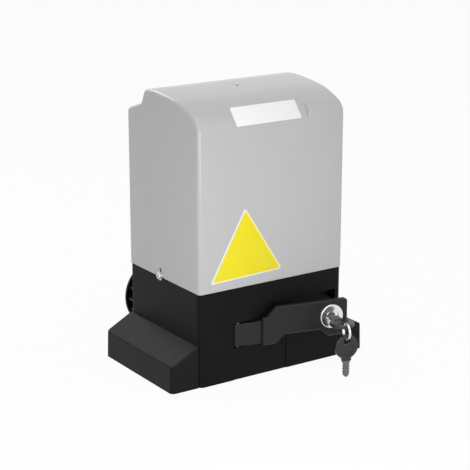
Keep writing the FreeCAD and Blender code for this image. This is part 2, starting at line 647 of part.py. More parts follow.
def worm():
    """Right-hand single thread on a core, bored for the motor shaft."""
    tip_r, root_r = WORM_PITCH_R + WORM_MODULE, WORM_PITCH_R - 1.25 * WORM_MODULE
    half = WORM_LEAD / 4 - BACKLASH / 2
    slope = math.tan(PRESSURE)
    turns = int(WORM_LENGTH / WORM_LEAD) + 3
    inner_r = root_r - 0.4
    section = [(inner_r, half + (WORM_PITCH_R - inner_r) * slope), (tip_r, half - WORM_MODULE * slope)]
    corners = [V(r, 0, h) for r, h in section] + [V(r, 0, -h) for r, h in reversed(section)]
    profile = Part.makePolygon(corners + corners[:1])
    helix = Part.makeHelix(WORM_LEAD, WORM_LEAD * turns, WORM_PITCH_R)
    thread = Part.Wire(helix.Edges).makePipeShell([profile], True, True)
    # half a lead puts the thread, on the wheel's side, level with a gap
    thread.translate(V(0, 0, -WORM_LEAD * (turns // 2 + 0.5)))
    # the thread runs past the ends of the worm, and both are trimmed square
    reach, half_length = WORM_LEAD * (turns / 2 + 1), WORM_LENGTH / 2
    body = bar_along("z", root_r, 0, 0, -reach, reach).fuse(thread)
    for low, high in ((-reach - 1, -half_length), (half_length, reach + 1)):
        body = body.cut(span((-20, 20), (-20, 20), (low, high)))
    body = body.cut(bar_along("z", 6.0, 0, 0, -half_length - 1, half_length + 1))
    body.translate(V(MOTOR_X, WHEEL_Y, WHEEL_Z))
    return body


def output_shaft():
    """Hollow at the front for the release rod, with a slot for the cross pin and a collar behind the wheel."""
    shaft = fused([
        bar_along("y", SHAFT_R, WHEEL_X, WHEEL_Z, FRONT_BEARING_Y + 0.5, PINION_Y[1]),
        bar_along("y", 13, WHEEL_X, WHEEL_Z, WHEEL_Y + 16.3, REAR_BEARING_Y),
    ])
    pin_y = WHEEL_Y - 14 - 6.5
    cuts = [
        bar_along("y", ROD_R + 0.1, WHEEL_X, WHEEL_Z, FRONT_BEARING_Y, pin_y + 20),
        span((WHEEL_X - 2.6, WHEEL_X + 2.6), (pin_y - 7.4, pin_y + 3.2), (WHEEL_Z - 15, WHEEL_Z + 15)),
        span((WHEEL_X - 3, WHEEL_X + 3), (PINION_Y[0] + 1, PINION_Y[1] + 1), (WHEEL_Z + 6.5, WHEEL_Z + 15)),
        bar_along("y", 3.4, WHEEL_X, WHEEL_Z, PINION_Y[1] - 22, PINION_Y[1] + 1),
    ]
    return without(shaft, cuts)


def rest_shift():
    """How far the clutch parts stand from their shut-lever place at rest."""
    return -CLUTCH_TRAVEL * LEVER_OPEN / 90


def clutch_parts():
    """Rod, cross pin and dog ring, which slide together, and the spring that pushes them forward."""
    shift = rest_shift()
    pin_y = WHEEL_Y - 14 - 6.5 + shift
    nose = LEVER_AXIS[1] + ROD_NOSE + shift
    tip = Part.makeSphere(ROD_NOSE_R, V(WHEEL_X, nose + ROD_NOSE_R, WHEEL_Z))
    neck = bar_along("y", ROD_NOSE_R, WHEEL_X, WHEEL_Z, nose + ROD_NOSE_R, nose + 5)
    stem = bar_along("y", ROD_R, WHEEL_X, WHEEL_Z, nose + 4.8, pin_y + 4.5)
    cross = bar_along("z", 2.5, WHEEL_X, pin_y, WHEEL_Z - 19, WHEEL_Z + 19)
    rod = fused([tip, neck, stem]).cut(cross)
    ring = sleeve("y", 22, SHAFT_R + RUNNING, WHEEL_X, WHEEL_Z, WHEEL_Y - 14 - 13 + shift, WHEEL_Y - 14.1 + shift)
    teeth = [dog.common(sleeve("y", 22, 13.5, WHEEL_X, WHEEL_Z, -20, WHEEL_Y - 14 + DOG_H + shift))
             for dog in dogs(0, shift, DOG_H)]
    ring = fused([ring] + teeth).cut(cross)
    spring_start, spring_end = pin_y + 4.7, WHEEL_Y - 14 - 6.5 + 20
    turns = 4
    pitch = (spring_end - spring_start - 1.4) / turns
    helix = Part.makeHelix(pitch, pitch * turns, 3.2)
    wire = Part.makePolygon([V(r, 0, h) for r, h in ((2.7, -0.5), (3.7, -0.5), (3.7, 0.5), (2.7, 0.5), (2.7, -0.5))])
    spring = Part.Wire(helix.Edges).makePipeShell([wire], True, True)
    spring.rotate(V(0, 0, 0), V(1, 0, 0), -90)
    spring.translate(V(WHEEL_X, spring_start + 0.7, WHEEL_Z))
    return {"release_rod": rod, "clutch_pin": cross, "clutch_dog": ring, "release_spring": spring}


def bearing(axis, outer, inner, width, a, b, start):
    """Ball bearing with its shields set back between the rings."""
    body = sleeve(axis, outer, inner, a, b, start, start + width)
    land = (outer - inner) * 0.28
    for low in (start - 1, start + width - 0.6):
        body = body.cut(sleeve(axis, outer - land, inner + land, a, b, low, low + 1.6))
    return body


def output_bearings():
    return [
        bearing("y", BEARING_R, SHAFT_R + RUNNING, BEARING_W, WHEEL_X, WHEEL_Z, y)
        for y in (FRONT_BEARING_Y, REAR_BEARING_Y)
    ]


def oil_seal():
    start = REAR_BEARING_Y + BEARING_W + 0.3
    seal = sleeve("y", BEARING_R, SHAFT_R + 0.1, WHEEL_X, WHEEL_Z, start, HALF_D - 0.4)
    return seal.cut(sleeve("y", 17, 12, WHEEL_X, WHEEL_Z, HALF_D - 3, HALF_D))


def pinion():
    """Steel pinion for the rack: involute teeth, a hub towards the base and a keyed bore."""
    points = gear_points(PINION_TEETH, PINION_MODULE)
    rim = prism([(WHEEL_X + a, WHEEL_Z + b) for a, b in points], "y", *PINION_Y)
    hub = bar_along("y", 24, WHEEL_X, WHEEL_Z, HALF_D + 3, PINION_Y[0] + 1)
    bore = bar_along("y", SHAFT_R, WHEEL_X, WHEEL_Z, HALF_D, PINION_Y[1] + 1)
    keyway = span((WHEEL_X - 3, WHEEL_X + 3), (HALF_D, PINION_Y[1] + 1), (WHEEL_Z, WHEEL_Z + 12.8))
    # bevelled tooth ends
    cone_r = PINION_MODULE * (PINION_TEETH / 2 + 1)
    length = PINION_Y[1] - PINION_Y[0]
    envelope = Part.makeCylinder(cone_r + 0.01, length, V(WHEEL_X, PINION_Y[0], WHEEL_Z), V(0, 1, 0))
    envelope = envelope.makeChamfer(1.2, [e for e in envelope.Edges if e.Length > 2 * cone_r])
    return without(fused([rim.common(envelope), hub]), [bore, keyway])


def pinion_fixings():
    end = PINION_Y[1]
    key_bar = span((WHEEL_X - 3, WHEEL_X + 3), (PINION_Y[0] + 1, end - 1), (WHEEL_Z + 6.5, WHEEL_Z + 12.6))
    washer = sleeve("y", 15, 4.2, WHEEL_X, WHEEL_Z, end, end + 3)
    flats = [(WHEEL_X + 7.5 * math.cos(math.radians(a)), WHEEL_Z + 7.5 * math.sin(math.radians(a)))
             for a in range(30, 390, 60)]
    bolt = fused([prism(flats, "y", end + 3, end + 8.3), bar_along("y", 3.4, WHEEL_X, WHEEL_Z, end - 20, end + 4)])
    return {"pinion_key": key_bar, "pinion_washer": washer, "pinion_bolt": bolt}


def motor_plate():
    """Aluminium plate that closes the gear chamber and carries the motor."""
    x, y = HALF_W - WALL - FIT, HALF_D - WALL - FIT
    plate = rounded_span((-x, x), (BULKHEAD[1] + FIT, y), PLATE_Z, 3)
    boss = bar_along("z", 22, MOTOR_X, WHEEL_Y, PLATE_Z[0] - 9, PLATE_Z[0] + 1)
    cuts = [
        bar_along("z", 17.5, MOTOR_X, WHEEL_Y, PLATE_Z[0] - 7.5, PLATE_Z[1] + 1),
        bar_along("z", 12, MOTOR_X, WHEEL_Y, PLATE_Z[0] - 10, PLATE_Z[1]),
        bar_along("z", CABLE_HOLE[2], CABLE_HOLE[0], CABLE_HOLE[1], PLATE_Z[0] - 1, PLATE_Z[1] + 1),
    ]
    cuts += [bar_along("z", 2.7, x, y, PLATE_Z[0] - 1, PLATE_Z[1] + 1) for x, y in post_places()]
    cuts += [bar_along("z", 2.1, x, y, PLATE_Z[0] - 1, PLATE_Z[1] + 1) for x, y in tie_bolt_places()]
    return without(fused([plate, boss]), cuts)


def cap_screw(x, y, z, length, r=2.1, head_r=4.2, head_h=5.0):
    """Socket-head screw that points down, its head on z."""
    socket = prism([(x + r * math.cos(math.radians(a)), y + r * math.sin(math.radians(a)))
                    for a in range(0, 360, 60)], "z", z + head_h - 2.5, z + head_h + 1)
    return fused([bar_along("z", head_r, x, y, z, z + head_h), bar_along("z", r, x, y, z - length, z + 1)]).cut(socket)


def tie_bolt_places():
    return [(MOTOR_X + 45.8 * math.cos(math.radians(a)), WHEEL_Y + 45.8 * math.sin(math.radians(a)))
            for a in (45, 135, 225, 315)]


def motor_parts():
    """Stator, windings, end bells and tie bolts, round the upright motor axis."""
    x, y = MOTOR_X, WHEEL_Y
    low, high = STATOR_Z
    bolts = tie_bolt_places()
    holes = [bar_along("z", 2.6, a, b, PLATE_Z[1], high + 40) for a, b in bolts]
    core = without(sleeve("z", STATOR_R, STATOR_BORE, x, y, low, high), holes)
    windings = []
    for start, end in ((low - 13, low), (high, high + 13)):
        coil = sleeve("z", 41, 30, x, y, start, end)
        far = start if start < low else end
        windings.append(coil.makeChamfer(3, [e for e in coil.Edges if abs(e.BoundBox.ZMin - far) < 0.1
                                             and abs(e.BoundBox.ZMax - far) < 0.1]))
    vents = [span((-60, 60), (-9, 9), (PLATE_Z[1] + 6, low - 6))]
    vents[0].translate(V(x, y, 0))
    flange = sleeve("z", STATOR_R, 42.5, x, y, PLATE_Z[1], low)
    flange = without(flange, holes + vents)
    top = high + 24
    bell = bar_along("z", STATOR_R, x, y, high, high + 18)
    bell = softened(bell, 6, lambda e: e.CenterOfMass.z > high + 17 and e.Curve.TypeId == "Part::GeomCircle")
    bell = fused([bell, bar_along("z", 20, x, y, high + 17, top)])
    bell_vent = span((-60, 60), (-9, 9), (high + 4, high + 10))
    bell_vent.translate(V(x, y, 0))
    bell = without(bell, [
        bar_along("z", 42.5, x, y, high - 1, high + 13.5), bar_along("z", 16, x, y, high + 11, high + 21),
        bar_along("z", 7, x, y, high, top + 1), bell_vent] + holes)
    rods = []
    for a, b in bolts:
        bell_top = bell_seat_z(bell, a, b)
        rods.append(fused([bar_along("z", 2.1, a, b, PLATE_Z[0], bell_top + 1),
                           bar_along("z", 4.0, a, b, bell_top, bell_top + 4)]))
    return {
        "stator_core": core, "stator_windings": Part.makeCompound(windings), "motor_flange": flange,
        "motor_end_bell": bell, "motor_tie_bolts": Part.makeCompound(rods),
    }


def bell_seat_z(bell, a, b):
    """Height of the end bell's top where a tie bolt's head sits."""
    probe = sleeve("z", 4.0, 2.7, a, b, STATOR_Z[0], STATOR_Z[1] + 40)
    return bell.common(probe).BoundBox.ZMax


def rotor_parts():
    x, y = MOTOR_X, WHEEL_Y
    low, high = STATOR_Z
    core = fused([sleeve("z", 27, 7.5, x, y, low, high)]
                 + [sleeve("z", 25, 17, x, y, a, b) for a, b in ((low - 5, low), (high, high + 5))])
    shaft = fused([bar_along("z", 6.0, x, y, 8.3, 84), bar_along("z", 7.5, x, y, 84, high + 10.5),
                   bar_along("z", 6.0, x, y, high + 10, high + 27)])
    return {"rotor_core": core, "motor_shaft": shaft, "worm": worm()}


def motor_bearings():
    x, y = MOTOR_X, WHEEL_Y
    return [
        bearing("z", 16, 6 + RUNNING, 10, x, y, 8),
        bearing("z", 17.5, 7.5 + RUNNING, 11, x, y, PLATE_Z[0] - 7.5),
        bearing("z", 16, 6 + RUNNING, 10, x, y, STATOR_Z[1] + 11),
    ]


def electrical_parts():
    """Capacitor, transformer, control board and what stands on them, the limit sensor and the cable grommet."""
    floor = PLATE_Z[1]
    cap_x, cap_y, cap_r = -66.0, 45.0, 17.5
    capacitor = bar_along("z", cap_r, cap_x, cap_y, floor, floor + 78)
    capacitor = softened(capacitor, 2.5, lambda e: e.CenterOfMass.z > floor + 70 and e.Curve.TypeId == "Part::GeomCircle")
    terminals = [span((cap_x + s - 0.4, cap_x + s + 0.4), (cap_y - 3.2, cap_y + 3.2), (floor + 77, floor + 86))
                 for s in (-6.0, 6.0)]
    band = sleeve("z", cap_r + 1.0, cap_r, cap_x, cap_y, floor + 30, floor + 44)
    foot = fused([
        span((cap_x - 6, cap_x + 6), (cap_y - cap_r - 2.5, cap_y - cap_r - 0.6), (floor, floor + 44)),
        span((cap_x - 6, cap_x + 6), (cap_y - cap_r - 14, cap_y - cap_r - 1.0), (floor, floor + 1.8)),
    ])
    clip = fused([band, foot.cut(bar_along("z", cap_r, cap_x, cap_y, floor, floor + 50))])
    tx, ty = (-88.0, -46.0), (-38.0, 16.0)
    core = span(tx, (ty[0] + 7, ty[1] - 7), (floor, floor + 50))
    windows = [span((tx[0] + a, tx[0] + b), (ty[0], ty[1]), (floor + 8, floor + 42)) for a, b in ((7, 14), (28, 35))]
    core = without(core, windows)
    coil = softened(span((tx[0] + 7.3, tx[1] - 7.3), ty, (floor + 8.3, floor + 41.7)), 3, runs_along("z"))
    limb = span((tx[0] + 14, tx[0] + 28), (ty[0] + 7, ty[1] - 7), (floor, floor + 50))
    coil = coil.cut(limb)
    y = BOARD_Y
    half = BOARD_W / 2
    bracket = fused([
        span((-half, half), (y + 5, y + 7), (floor + 2, BOARD_Z[1])),
        span((-half, half), (y - 12, y + 7), (floor, floor + 2)),
    ])
    standoffs = [bar_along("y", 3, a, b, y, y + 5.5) for a, b in board_screw_places()]
    bracket = without(fused([bracket] + standoffs), [
        bar_along("y", 1.5, a, b, y - 1, y + 8) for a, b in board_screw_places()])
    board = span((-half, half), (y - 1.6, y), BOARD_Z)
    board = without(board, [bar_along("y", 1.5, a, b, y - 3, y + 1) for a, b in board_screw_places()])
    screws = [fused([bar_along("y", 1.5, a, b, y - 2, y + 5), bar_along("y", 3, a, b, y - 3.2, y - 1.6)])
              for a, b in board_screw_places()]
    front = y - 1.6
    blocks = [terminal_block(a, count, front) for a, count in ((-66.0, 6), (-20.0, 5), (22.0, 8))]
    relays = [softened(span((a, a + 19), (front - 15.5, front), (178, 194)), 1, runs_along("y")) for a in (-60, -36, -12)]
    chip = span((30, 48), (front - 2.6, front), (172, 190))
    fuse = fused([bar_along("x", 2.6, front - 5.0, 208, -62, -34)]
                 + [span((a, a + 5), (front - 8, front), (204.5, 211.5)) for a in (-64, -37)])
    trimmers = [fused([span((a, a + 7), (front - 5, front), (152, 159)),
                       bar_along("y", 2.4, a + 3.5, 155.5, front - 6.2, front - 4)]) for a in (10, 22, 34, 46)]
    button_x, button_z = 20.0, 214.0
    switch = span((button_x - 4, button_x + 4), (front - 3.8, front), (button_z - 4, button_z + 4))
    switch = switch.cut(bar_along("y", 2.0, button_x, button_z, front - 4, front - 1.2))
    button = bar_along("y", 1.9, button_x, button_z, front - 6.3, front - 2.4)
    sensor = fused([
        rounded_span((52, 86), (60, 67.5), (floor + 6, floor + 42), 1.5),
        span((56, 76), (54, 64), (floor, floor + 7)),
    ])
    cx, cy, cr = CABLE_HOLE
    grommet = fused([
        sleeve("z", cr, 9.5, cx, cy, 1.0, FLOOR + 3.5), sleeve("z", cr + 2.4, 9.5, cx, cy, FLOOR, FLOOR + 2.5),
    ])
    return {
        "capacitor": fused([capacitor] + terminals), "capacitor_clip": clip, "transformer_core": core,
        "transformer_coil": coil, "board_bracket": bracket, "control_board": board,
        "board_screws": Part.makeCompound(screws), "terminal_blocks": Part.makeCompound(blocks),
        "relays": Part.makeCompound(relays), "controller_chip": chip, "fuse": fuse,
        "trimmers": Part.makeCompound(trimmers), "learn_switch": switch, "learn_button": button,
        "limit_sensor": sensor, "cable_grommet": grommet,
    }


def board_screw_places():
    return [(a, b) for a in (-70.0, 70.0) for b in (BOARD_Z[0] + 5, BOARD_Z[1] - 5)]


def terminal_block(x, count, front):
    """Row of screw terminals along the foot of the board."""
    pitch = 5.0
    body = span((x, x + pitch * count), (front - 10, front), (133, 144))
    ways = [span((x + pitch * i + 1.2, x + pitch * i + 3.8), (front - 11, front - 4), (134, 137.5)) for i in range(count)]
    screws = [bar_along("y", 1.5, x + pitch * (i + 0.5), 141, front - 11, front - 8.5) for i in range(count)]
    return without(body, ways + screws)


def save(name, shape):
    if isinstance(shape, list):
        shape = Part.makeCompound(shape)
    solids = shape.Solids
    if not solids or not shape.isValid() or min(s.Volume for s in solids) <= 0:
        raise RuntimeError(f"{name} is not a sound solid")
    whole = solids[0] if len(solids) == 1 else Part.makeCompound(solids)
    whole.exportStep(f"parts/{name}.step")
    print(f"{name}: {len(solids)} solid(s), {sum(s.Volume for s in solids) / 1000:.1f} cm3")


def main():
    os.makedirs("parts", exist_ok=True)
    save("base_housing", base_housing())
    save("lever_housing", lever_housing())
    save("base_plate", base_plate())
    save("housing_screws", housing_screws())
    save("cover_seal", cover_seal())
    save("cover", cover())
    screws = screw_set()
    save("cover_screws", screws + [mirrored(piece) for piece in screws])
    save("foot_cover_right", foot_cover())
    save("foot_cover_left", mirrored(foot_cover()))
    save("release_lever", release_lever())
    save("lever_pin", lever_pin())
    for name, shape in lock_parts().items():
        save(name, on_lever(shape))
    blade, bow = key(KEY_LENGTH, KEY_NECK)
    save("key_blade", lock_frame(blade))
    save("key_bow", lock_frame(bow))
    save("key_ring", key_ring())
    spare_blade, spare_bow = spare_key()
    save("spare_key_blade", spare_blade)
    save("spare_key_bow", spare_bow)
    save("worm_wheel", worm_wheel())
    save("output_shaft", output_shaft())
    save("output_bearings", output_bearings())
    save("oil_seal", oil_seal())
    save("pinion", pinion())
    for group in (clutch_parts(), pinion_fixings(), motor_parts(), rotor_parts(), electrical_parts()):
        for name, shape in group.items():
            save(name, shape)
    save("motor_bearings", motor_bearings())
    save("motor_plate", motor_plate())
    save("plate_screws", [cap_screw(x, y, PLATE_Z[1], 20) for x, y in post_places()])


main()
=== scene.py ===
"""Sliding gate motor: its finishes, the moulded cover with its plate and sticker, the guide disc, the studio.

Lengths in this file are in millimetres and are turned to metres by mm(). The frame is the motor's own:
+X right, +Y back, +Z up, with the ground at zero and the lever at the front.
"""

import json
import math

import bmesh
import bpy
from mathutils import Matrix, Vector


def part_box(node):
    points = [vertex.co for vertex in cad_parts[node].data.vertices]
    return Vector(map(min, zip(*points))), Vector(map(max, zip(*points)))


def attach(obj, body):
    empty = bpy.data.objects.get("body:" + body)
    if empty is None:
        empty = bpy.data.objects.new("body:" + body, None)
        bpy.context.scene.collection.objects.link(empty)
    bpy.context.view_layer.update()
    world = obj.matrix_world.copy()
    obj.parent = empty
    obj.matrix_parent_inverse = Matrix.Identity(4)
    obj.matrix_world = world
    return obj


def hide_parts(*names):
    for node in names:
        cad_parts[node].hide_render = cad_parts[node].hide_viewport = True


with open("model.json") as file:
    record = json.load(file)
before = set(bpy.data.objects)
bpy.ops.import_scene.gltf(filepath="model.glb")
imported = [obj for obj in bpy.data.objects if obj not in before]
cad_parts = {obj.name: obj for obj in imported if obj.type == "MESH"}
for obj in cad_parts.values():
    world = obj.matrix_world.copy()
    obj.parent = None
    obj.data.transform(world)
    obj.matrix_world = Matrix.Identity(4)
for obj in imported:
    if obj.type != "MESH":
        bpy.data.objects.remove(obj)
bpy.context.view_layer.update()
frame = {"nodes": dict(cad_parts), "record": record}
nodes = frame["nodes"]

MILLIMETRE = 0.001


def mm(*values):
    """Millimetres as metres: one number, or a vector from two or three."""
    if len(values) == 1:
        return values[0] * MILLIMETRE
    return Vector(values) * MILLIMETRE


# ---------------------------------------------------------------------------
# Finishes
# ---------------------------------------------------------------------------


class Finish:
    """A material that is put together from a few named steps."""

    def __init__(self, name, metallic=0.0, specular=0.5, coat=0.0, coat_roughness=0.2):
        self.material = bpy.data.materials.new(name)
        self.material.use_nodes = True
        self.tree = self.material.node_tree
        self.shader = self.tree.nodes["Principled BSDF"]
        self.place = self.tree.nodes.new("ShaderNodeTexCoord").outputs["Object"]
        self.shader.inputs["Metallic"].default_value = metallic
        self.shader.inputs["Specular IOR Level"].default_value = specular
        self.shader.inputs["Coat Weight"].default_value = coat
        self.shader.inputs["Coat Roughness"].default_value = coat_roughness

    def node(self, kind, **settings):
        made = self.tree.nodes.new(kind)
        for key, value in settings.items():
            setattr(made, key, value)
        return made

    def link(self, start, end):
        self.tree.links.new(start, end)

    def noise(self, grain_mm, detail=3.0, stretch=(1, 1, 1)):
        """Noise whose grains are about grain_mm across, 0 to 1."""
        mapping = self.node("ShaderNodeMapping")
        mapping.inputs["Scale"].default_value = stretch
        self.link(self.place, mapping.inputs["Vector"])
        texture = self.node("ShaderNodeTexNoise")
        texture.inputs["Scale"].default_value = 1 / mm(grain_mm)
        texture.inputs["Detail"].default_value = detail
        self.link(mapping.outputs["Vector"], texture.inputs["Vector"])
        return texture.outputs["Fac"]

    def cell_edges(self, size_mm):
        """Distance from the edges of cells that are about size_mm across."""
        texture = self.node("ShaderNodeTexVoronoi", feature="DISTANCE_TO_EDGE")
        texture.inputs["Scale"].default_value = 1 / mm(size_mm)
        self.link(self.place, texture.inputs["Vector"])
        return texture.outputs["Distance"]

    def waves(self, pitch_mm, direction, distortion=0.0):
        """Bands a pitch apart along X, Y or Z."""
        texture = self.node("ShaderNodeTexWave", wave_type="BANDS", bands_direction=direction)
        # a band texture repeats 20 / (2 pi) times a unit at a scale of 1
        texture.inputs["Scale"].default_value = 2 * math.pi / 20 / mm(pitch_mm)
        texture.inputs["Distortion"].default_value = distortion
        self.link(self.place, texture.inputs["Vector"])
        return texture.outputs["Fac"]

    def spread(self, value, low, high, to_low, to_high):
        """A value carried from one range to another, held at the ends."""
        node = self.node("ShaderNodeMapRange", clamp=True)
        for key, number in zip(("From Min", "From Max", "To Min", "To Max"), (low, high, to_low, to_high)):
            node.inputs[key].default_value = number
        self.link(value, node.inputs["Value"])
        return node.outputs["Result"]

    def colour(self, factor, first, second):
        """Colour that runs from the first to the second as the factor rises."""
        mix = self.node("ShaderNodeMix", data_type="RGBA")
        mix.inputs[6].default_value = (*first, 1)
        mix.inputs[7].default_value = (*second, 1)
        self.link(factor, mix.inputs["Factor"])
        self.link(mix.outputs[2], self.shader.inputs["Base Color"])
        return self

    def roughness(self, factor, first, second):
        self.link(self.spread(factor, 0, 1, first, second), self.shader.inputs["Roughness"])
        return self

    def bump(self, *layers):
        """Relief from pairs of a height and how many millimetres it stands for."""
        normal = None
        for height, depth in layers:
            node = self.node("ShaderNodeBump")
            node.inputs["Strength"].default_value = 1.0
            node.inputs["Distance"].default_value = mm(depth)
            self.link(height, node.inputs["Height"])
            if normal is not None:
                self.link(normal, node.inputs["Normal"])
            normal = node.outputs["Normal"]
        self.link(normal, self.shader.inputs["Normal"])
        return self


def shade(colour, factor):
    return tuple(c * factor for c in colour)


def moulded(name, colour, roughness=0.4, grain=0.6, depth=0.012, specular=0.4, cloud=0.05, coat=0.0):
    """Moulded plastic: an even, fine-grained skin with faint clouding."""
    finish = Finish(name, specular=specular, coat=coat, coat_roughness=0.14)
    clouds = finish.noise(60, 2)
    skin = finish.noise(grain, 2)
    finish.colour(clouds, shade(colour, 1 - cloud), shade(colour, 1 + cloud))
    finish.roughness(skin, roughness - 0.05, roughness + 0.05)
    finish.bump((skin, depth))
    return finish.material


def powder_coat(name, colour, roughness=0.5, specular=0.3):
    """Powder coat on a casting: orange peel over a slightly uneven skin."""
    finish = Finish(name, specular=specular)
    peel = finish.noise(1.6, 2)
    speckle = finish.noise(0.35, 1)
    casting = finish.noise(18, 3)
    finish.colour(casting, shade(colour, 0.8), shade(colour, 1.25))
    finish.roughness(speckle, roughness - 0.08, roughness + 0.1)
    finish.bump((casting, 0.06), (peel, 0.03), (speckle, 0.008))
    return finish.material


def bright_metal(name, colour, roughness, brush=(1, 1, 1), depth=0.002, tint=0.08):
    """Turned, plated or polished metal: fine lines along the long way of the brush."""
    finish = Finish(name, metallic=1.0)
    lines = finish.noise(0.5, 3, brush)
    stains = finish.noise(9, 3)
    finish.colour(stains, shade(colour, 1 - tint), colour)
    finish.roughness(lines, max(0.04, roughness - 0.08), roughness + 0.08)
    finish.bump((lines, depth))
    return finish.material


def cast_metal(name, colour, roughness=0.5):
    """Bare sand-cast aluminium."""
    finish = Finish(name, metallic=0.85)
    sand = finish.noise(1.1, 4)
    finish.colour(finish.noise(14, 3), shade(colour, 0.82), colour)
    finish.roughness(sand, roughness - 0.1, roughness + 0.12)
    finish.bump((sand, 0.08))
    return finish.material


def laminated(name, colour):
    """Stack of varnished steel sheets, half a millimetre each, lying flat."""
    finish = Finish(name, metallic=0.55)
    sheets = finish.waves(1.0, "Z")
    finish.colour(sheets, shade(colour, 0.45), colour)
    finish.roughness(finish.noise(4, 3), 0.38, 0.62)
    finish.bump((sheets, 0.1))
    return finish.material


def wound_wire(name, colour, pitch, direction):
    """Varnished wire, laid side by side."""
    finish = Finish(name, metallic=0.35, coat=0.6, coat_roughness=0.12)
    wires = finish.waves(pitch, direction, 0.4)
    finish.colour(wires, shade(colour, 0.35), colour)
    finish.roughness(finish.noise(3, 2), 0.25, 0.45)
    finish.bump((wires, 0.25))
    return finish.material


def soft_rubber(name, colour):
    finish = Finish(name, specular=0.25)
    skin = finish.noise(0.8, 3)
    finish.colour(finish.noise(7, 3), shade(colour, 0.8), shade(colour, 1.3))
    finish.roughness(skin, 0.62, 0.8)
    finish.bump((skin, 0.02))
    return finish.material


def solder_mask(name, colour):
    """Circuit board: glossy mask over faint square tracks."""
    finish = Finish(name, coat=0.5, coat_roughness=0.1)
    tracks = finish.spread(finish.cell_edges(7), 0.05, 0.09, 1.0, 0.0)
    finish.colour(tracks, colour, shade(colour, 1.9))
    finish.roughness(finish.noise(2, 2), 0.28, 0.4)
    finish.bump((tracks, 0.03))
    return finish.material


def printed_film(name, colour, roughness=0.35):
    """Smooth vinyl or coated card, a little uneven where it lies on its glue."""
    finish = Finish(name, specular=0.4)
    lie = finish.noise(16, 2)
    finish.colour(lie, shade(colour, 0.97), colour)
    finish.roughness(finish.noise(1.2, 2), roughness - 0.04, roughness + 0.04)
    finish.bump((lie, 0.03))
    return finish.material


FINISHES = {
    "base_paint": powder_coat("base_paint", (0.0045, 0.0045, 0.0047), 0.5, 0.1),
    "foot_plastic": moulded("foot_plastic", (0.0115, 0.0115, 0.0119), 0.42, 0.7, 0.01, 0.08),
    "cover_plastic": moulded("cover_plastic", (0.51, 0.51, 0.515), 0.34, 0.5, 0.003, 0.35, 0.02, 0.45),
    "lever_plastic": moulded("lever_plastic", (0.013, 0.013, 0.0135), 0.42, 0.7, 0.02, 0.26),
    "chrome": bright_metal("chrome", (0.82, 0.82, 0.83), 0.14),
    "zinc_steel": bright_metal("zinc_steel", (0.66, 0.67, 0.66), 0.3),
    "steel": bright_metal("steel", (0.56, 0.56, 0.57), 0.32, (1, 6, 1)),
    "key_steel": bright_metal("key_steel", (0.17, 0.17, 0.165), 0.36, (1, 1, 4)),
    "gear_steel": bright_metal("gear_steel", (0.035, 0.035, 0.037), 0.38),
    "bronze": bright_metal("bronze", (0.72, 0.45, 0.2), 0.3),
    "rubber": soft_rubber("rubber", (0.02, 0.02, 0.02)),
    "cast_aluminium": cast_metal("cast_aluminium", (0.62, 0.63, 0.64)),
    "lamination": laminated("lamination", (0.2, 0.22, 0.27)),
    "copper_winding": wound_wire("copper_winding", (0.55, 0.2, 0.07), 1.1, "Z"),
    "key_plastic": moulded("key_plastic", (0.014, 0.014, 0.014), 0.3, 0.9, 0.008, 0.5),
    "board": solder_mask("board", (0.012, 0.12, 0.045)),
    "terminal_plastic": moulded("terminal_plastic", (0.05, 0.32, 0.12), 0.45),
    "relay_plastic": moulded("relay_plastic", (0.03, 0.12, 0.42), 0.35),
    "black_plastic": moulded("black_plastic", (0.02, 0.02, 0.02), 0.45),
    "white_plastic": moulded("white_plastic", (0.72, 0.72, 0.69), 0.4),
    "glass_fuse": moulded("glass_fuse", (0.6, 0.63, 0.6), 0.2),
}


FINER = {"key_blade": "key_steel", "spare_key_blade": "key_steel"}  # nodes with a finish of their own


def dress_nodes():
    """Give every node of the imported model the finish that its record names, or its own."""
    for part in frame["record"]["subparts"]:
        mesh = nodes[part["node"]].data
        mesh.materials.clear()
        mesh.materials.append(FINISHES[FINER.get(part["node"], part["material_slot"])])


# ---------------------------------------------------------------------------
# Making pieces
# ---------------------------------------------------------------------------

SHARP = math.radians(35)  # edges that turn by more than this stay crisp



def finished(mesh, name, body, materials):
    """Turn a bmesh that is drawn in place into a smooth piece on a body."""
    bmesh.ops.recalc_face_normals(mesh, faces=mesh.faces)
    data = bpy.data.meshes.new(name)
    mesh.to_mesh(data)
    mesh.free()
    for material in materials:
        data.materials.append(material)
    piece = bpy.data.objects.new(name, data)
    bpy.context.scene.collection.objects.link(piece)
    data.shade_smooth()
    data.set_sharp_from_angle(angle=SHARP)
    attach(piece, body)
    return piece


def rounded_card(corners, thickness, radius, edge):
    """Flat card over corner points (x, y): thick in z, with round corners and a soft upper edge."""
    mesh = bmesh.new()
    bottom = mesh.faces.new([mesh.verts.new((*corner, 0)) for corner in corners])
    raised = bmesh.ops.extrude_face_region(mesh, geom=[bottom])
    tops = [g for g in raised["geom"] if isinstance(g, bmesh.types.BMVert)]
    bmesh.ops.translate(mesh, vec=(0, 0, thickness), verts=tops)
    upright = [e for e in mesh.edges if abs(e.verts[0].co.z - e.verts[1].co.z) > thickness / 2]
    bmesh.ops.bevel(
        mesh, geom=upright, offset=radius, offset_type="OFFSET", segments=8, profile=0.5,
        affect="EDGES", material=-1,
    )
    rim = [e for e in mesh.edges if all(v.co.z > thickness * 0.99 for v in e.verts)]
    bmesh.ops.bevel(
        mesh, geom=rim, offset=edge, offset_type="OFFSET", segments=2, profile=0.5,
        affect="EDGES", material=-1,
    )
    return mesh


def carried(mesh, matrix):
    bmesh.ops.transform(mesh, matrix=matrix, verts=mesh.verts)
    return mesh


# ---------------------------------------------------------------------------
# Cover
# ---------------------------------------------------------------------------

